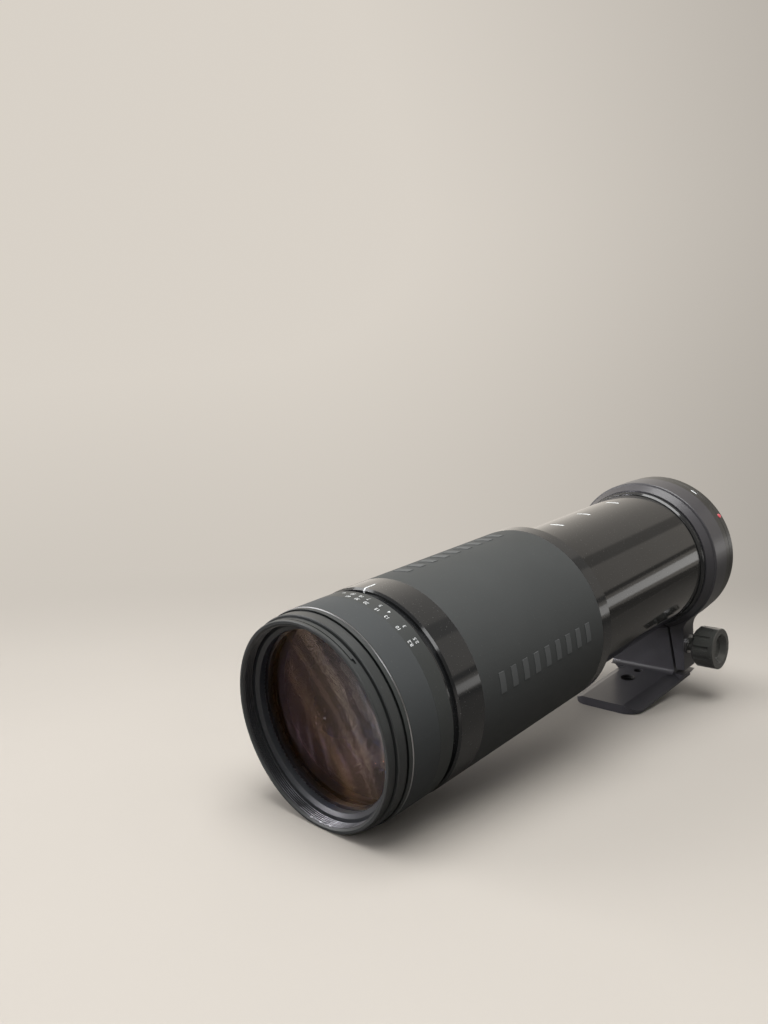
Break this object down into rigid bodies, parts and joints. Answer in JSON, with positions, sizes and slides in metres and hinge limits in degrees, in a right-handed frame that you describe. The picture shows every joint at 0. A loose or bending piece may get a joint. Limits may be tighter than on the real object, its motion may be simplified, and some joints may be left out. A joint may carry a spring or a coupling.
{
  "type": "super telephoto lens",
  "caption": "Push-pull super telephoto zoom lens with a turning focus ring, rubber zoom sleeve, tripod collar with a clamp knob, and a camera bayonet.",
  "frame": {"origin": "centre of the mounting flange's face, where the camera's flange seats", "axes": "+Y along the optical axis towards the camera, so the front lip points to -Y; +Z to the top of the lens, opposite the tripod foot; +X to the clamp knob's side"},
  "size_m": [0.1056, 0.367, 0.1423],
  "materials": {
    "gloss_black": "gloss black enamel on aluminium",
    "satin_black": "satin black enamel on aluminium",
    "inner_black": "matte black anodised",
    "bare_alloy": "plain turned aluminium",
    "brass": "plain turned brass",
    "steel": "plain steel",
    "bayonet_chrome": "satin chrome",
    "grip_rubber": "matte black rubber",
    "felt": "black felt",
    "knob_black": "black enamel on a turned brass knob",
    "coated_glass": "coated optical glass",
    "plain_glass": "optical glass",
    "white_paint": "white paint filled into a groove",
    "red_bead": "red enamel bead"
  },
  "bodies": {
    "barrel": {"fixed_barrel": "gloss_black", "guide_bush": "brass", "guide_key": "steel", "focal_marks": "white_paint", "tail_ring": "gloss_black", "rear_housing": "inner_black", "click_ball": "steel", "click_spring": "steel", "iris_housing": "inner_black", "rear_cell": "inner_black", "rear_glass_front": "plain_glass", "rear_glass_back": "plain_glass", "mount_adapter": "satin_black", "index_bead": "red_bead", "bayonet_flange": "bayonet_chrome", "mount_screws": "steel"},
    "zoom": {"zoom_sleeve": "gloss_black", "zoom_rubber": "grip_rubber", "zoom_felt": "felt", "index_line": "white_paint", "focus_carrier": "bare_alloy", "carrier_lock_ring": "inner_black"},
    "focus": {"focus_ring": "satin_black", "focus_grip": "grip_rubber"},
    "front": {"front_rim": "gloss_black", "front_cell": "inner_black", "front_lock_ring": "inner_black", "front_glass": "coated_glass", "front_spacer": "inner_black", "crown_glass": "coated_glass", "flint_glass": "plain_glass", "cell_lock_ring": "inner_black", "focus_pins": "steel"},
    "variator": {"variator_cell": "inner_black", "variator_glass": "plain_glass", "variator_lock_ring": "inner_black"},
    "compensator": {"compensator_cell": "inner_black", "compensator_glass": "plain_glass", "compensator_lock_ring": "inner_black"},
    "aperture": {"aperture_ring": "satin_black", "aperture_pin": "steel", "aperture_drive_tube": "inner_black"},
    "collar": {"tripod_collar": "satin_black", "collar_lining": "felt"},
    "clamp_washer": {"clamp_washer": "steel"},
    "clamp_knob": {"clamp_knob": "knob_black", "clamp_screw": "steel"},
    "stop_down_lever": {"stop_down_lever": "steel"},
    "blade_1": {"iris_blade_1": "steel"},
    "blade_2": {"iris_blade_2": "steel"},
    "blade_3": {"iris_blade_3": "steel"},
    "blade_4": {"iris_blade_4": "steel"},
    "blade_5": {"iris_blade_5": "steel"},
    "blade_6": {"iris_blade_6": "steel"}
  },
  "joints": [
    {"name": "zoom_slide", "type": "slide", "parent": "barrel", "child": "zoom", "axis": [0, 1, 0], "range_m": [0, 0.099]},
    {"name": "focus_turn", "type": "hinge", "parent": "zoom", "child": "focus", "pos_m": [0, -0.336, 0], "axis": [0, 1, 0], "range_deg": [-47, 5.8]},
    {"name": "front_travel", "type": "slide", "parent": "zoom", "child": "front", "axis": [0, 1, 0], "range_m": [-0.0112, 0.0014]},
    {"name": "variator_slide", "type": "slide", "parent": "barrel", "child": "variator", "axis": [0, 1, 0], "range_m": [0, 0.0337]},
    {"name": "compensator_slide", "type": "slide", "parent": "barrel", "child": "compensator", "axis": [0, 1, 0], "range_m": [-0.0116, 0]},
    {"name": "aperture_turn", "type": "hinge", "parent": "barrel", "child": "aperture", "pos_m": [0, -0.0297, 0], "axis": [0, 1, 0], "range_deg": [0, 60]},
    {"name": "collar_turn", "type": "hinge", "parent": "barrel", "child": "collar", "pos_m": [0, -0.041, 0], "axis": [0, 1, 0], "continuous": true},
    {"name": "washer_slide", "type": "slide", "parent": "collar", "child": "clamp_washer", "axis": [1, 0, 0], "range_m": [0, 0.00201]},
    {"name": "knob_turn", "type": "hinge", "parent": "clamp_washer", "child": "clamp_knob", "pos_m": [0.04, -0.041, -0.0625], "axis": [1, 0, 0], "range_deg": [0, 720]},
    {"name": "lever_turn", "type": "hinge", "parent": "barrel", "child": "stop_down_lever", "pos_m": [0, -0.0095, 0], "axis": [0, 1, 0], "range_deg": [0, 20], "stiffness_Nm_per_rad": 0.02, "springref_deg": -11.46},
    {"name": "blade_1_swing", "type": "hinge", "parent": "barrel", "child": "blade_1", "pos_m": [0, -0.077, 0.0332], "axis": [0, 1, 0], "range_deg": [0, 30.01]},
    {"name": "blade_2_swing", "type": "hinge", "parent": "barrel", "child": "blade_2", "pos_m": [0.02875, -0.077, 0.0166], "axis": [0, 1, 0], "range_deg": [0, 30.01]},
    {"name": "blade_3_swing", "type": "hinge", "parent": "barrel", "child": "blade_3", "pos_m": [0.02875, -0.077, -0.0166], "axis": [0, 1, 0], "range_deg": [0, 30.01]},
    {"name": "blade_4_swing", "type": "hinge", "parent": "barrel", "child": "blade_4", "pos_m": [0, -0.077, -0.0332], "axis": [0, 1, 0], "range_deg": [0, 30.01]},
    {"name": "blade_5_swing", "type": "hinge", "parent": "barrel", "child": "blade_5", "pos_m": [-0.02875, -0.077, -0.0166], "axis": [0, 1, 0], "range_deg": [0, 30.01]},
    {"name": "blade_6_swing", "type": "hinge", "parent": "barrel", "child": "blade_6", "pos_m": [-0.02875, -0.077, 0.0166], "axis": [0, 1, 0], "range_deg": [0, 30.01]}
  ],
  "couplings": [
    {"joint": "front_travel", "follows": "focus_turn", "m_per_rad": 0.0136},
    {"joint": "variator_slide", "follows": "zoom_slide", "ratio": 0.3394},
    {"joint": "compensator_slide", "follows": "zoom_slide", "ratio": -0.1162},
    {"joint": "washer_slide", "follows": "knob_turn", "m_per_rad": 0.00015915},
    {"joint": "blade_1_swing", "follows": "aperture_turn", "ratio": 0.5},
    {"joint": "blade_2_swing", "follows": "aperture_turn", "ratio": 0.5},
    {"joint": "blade_3_swing", "follows": "aperture_turn", "ratio": 0.5},
    {"joint": "blade_4_swing", "follows": "aperture_turn", "ratio": 0.5},
    {"joint": "blade_5_swing", "follows": "aperture_turn", "ratio": 0.5},
    {"joint": "blade_6_swing", "follows": "aperture_turn", "ratio": 0.5}
  ]
}
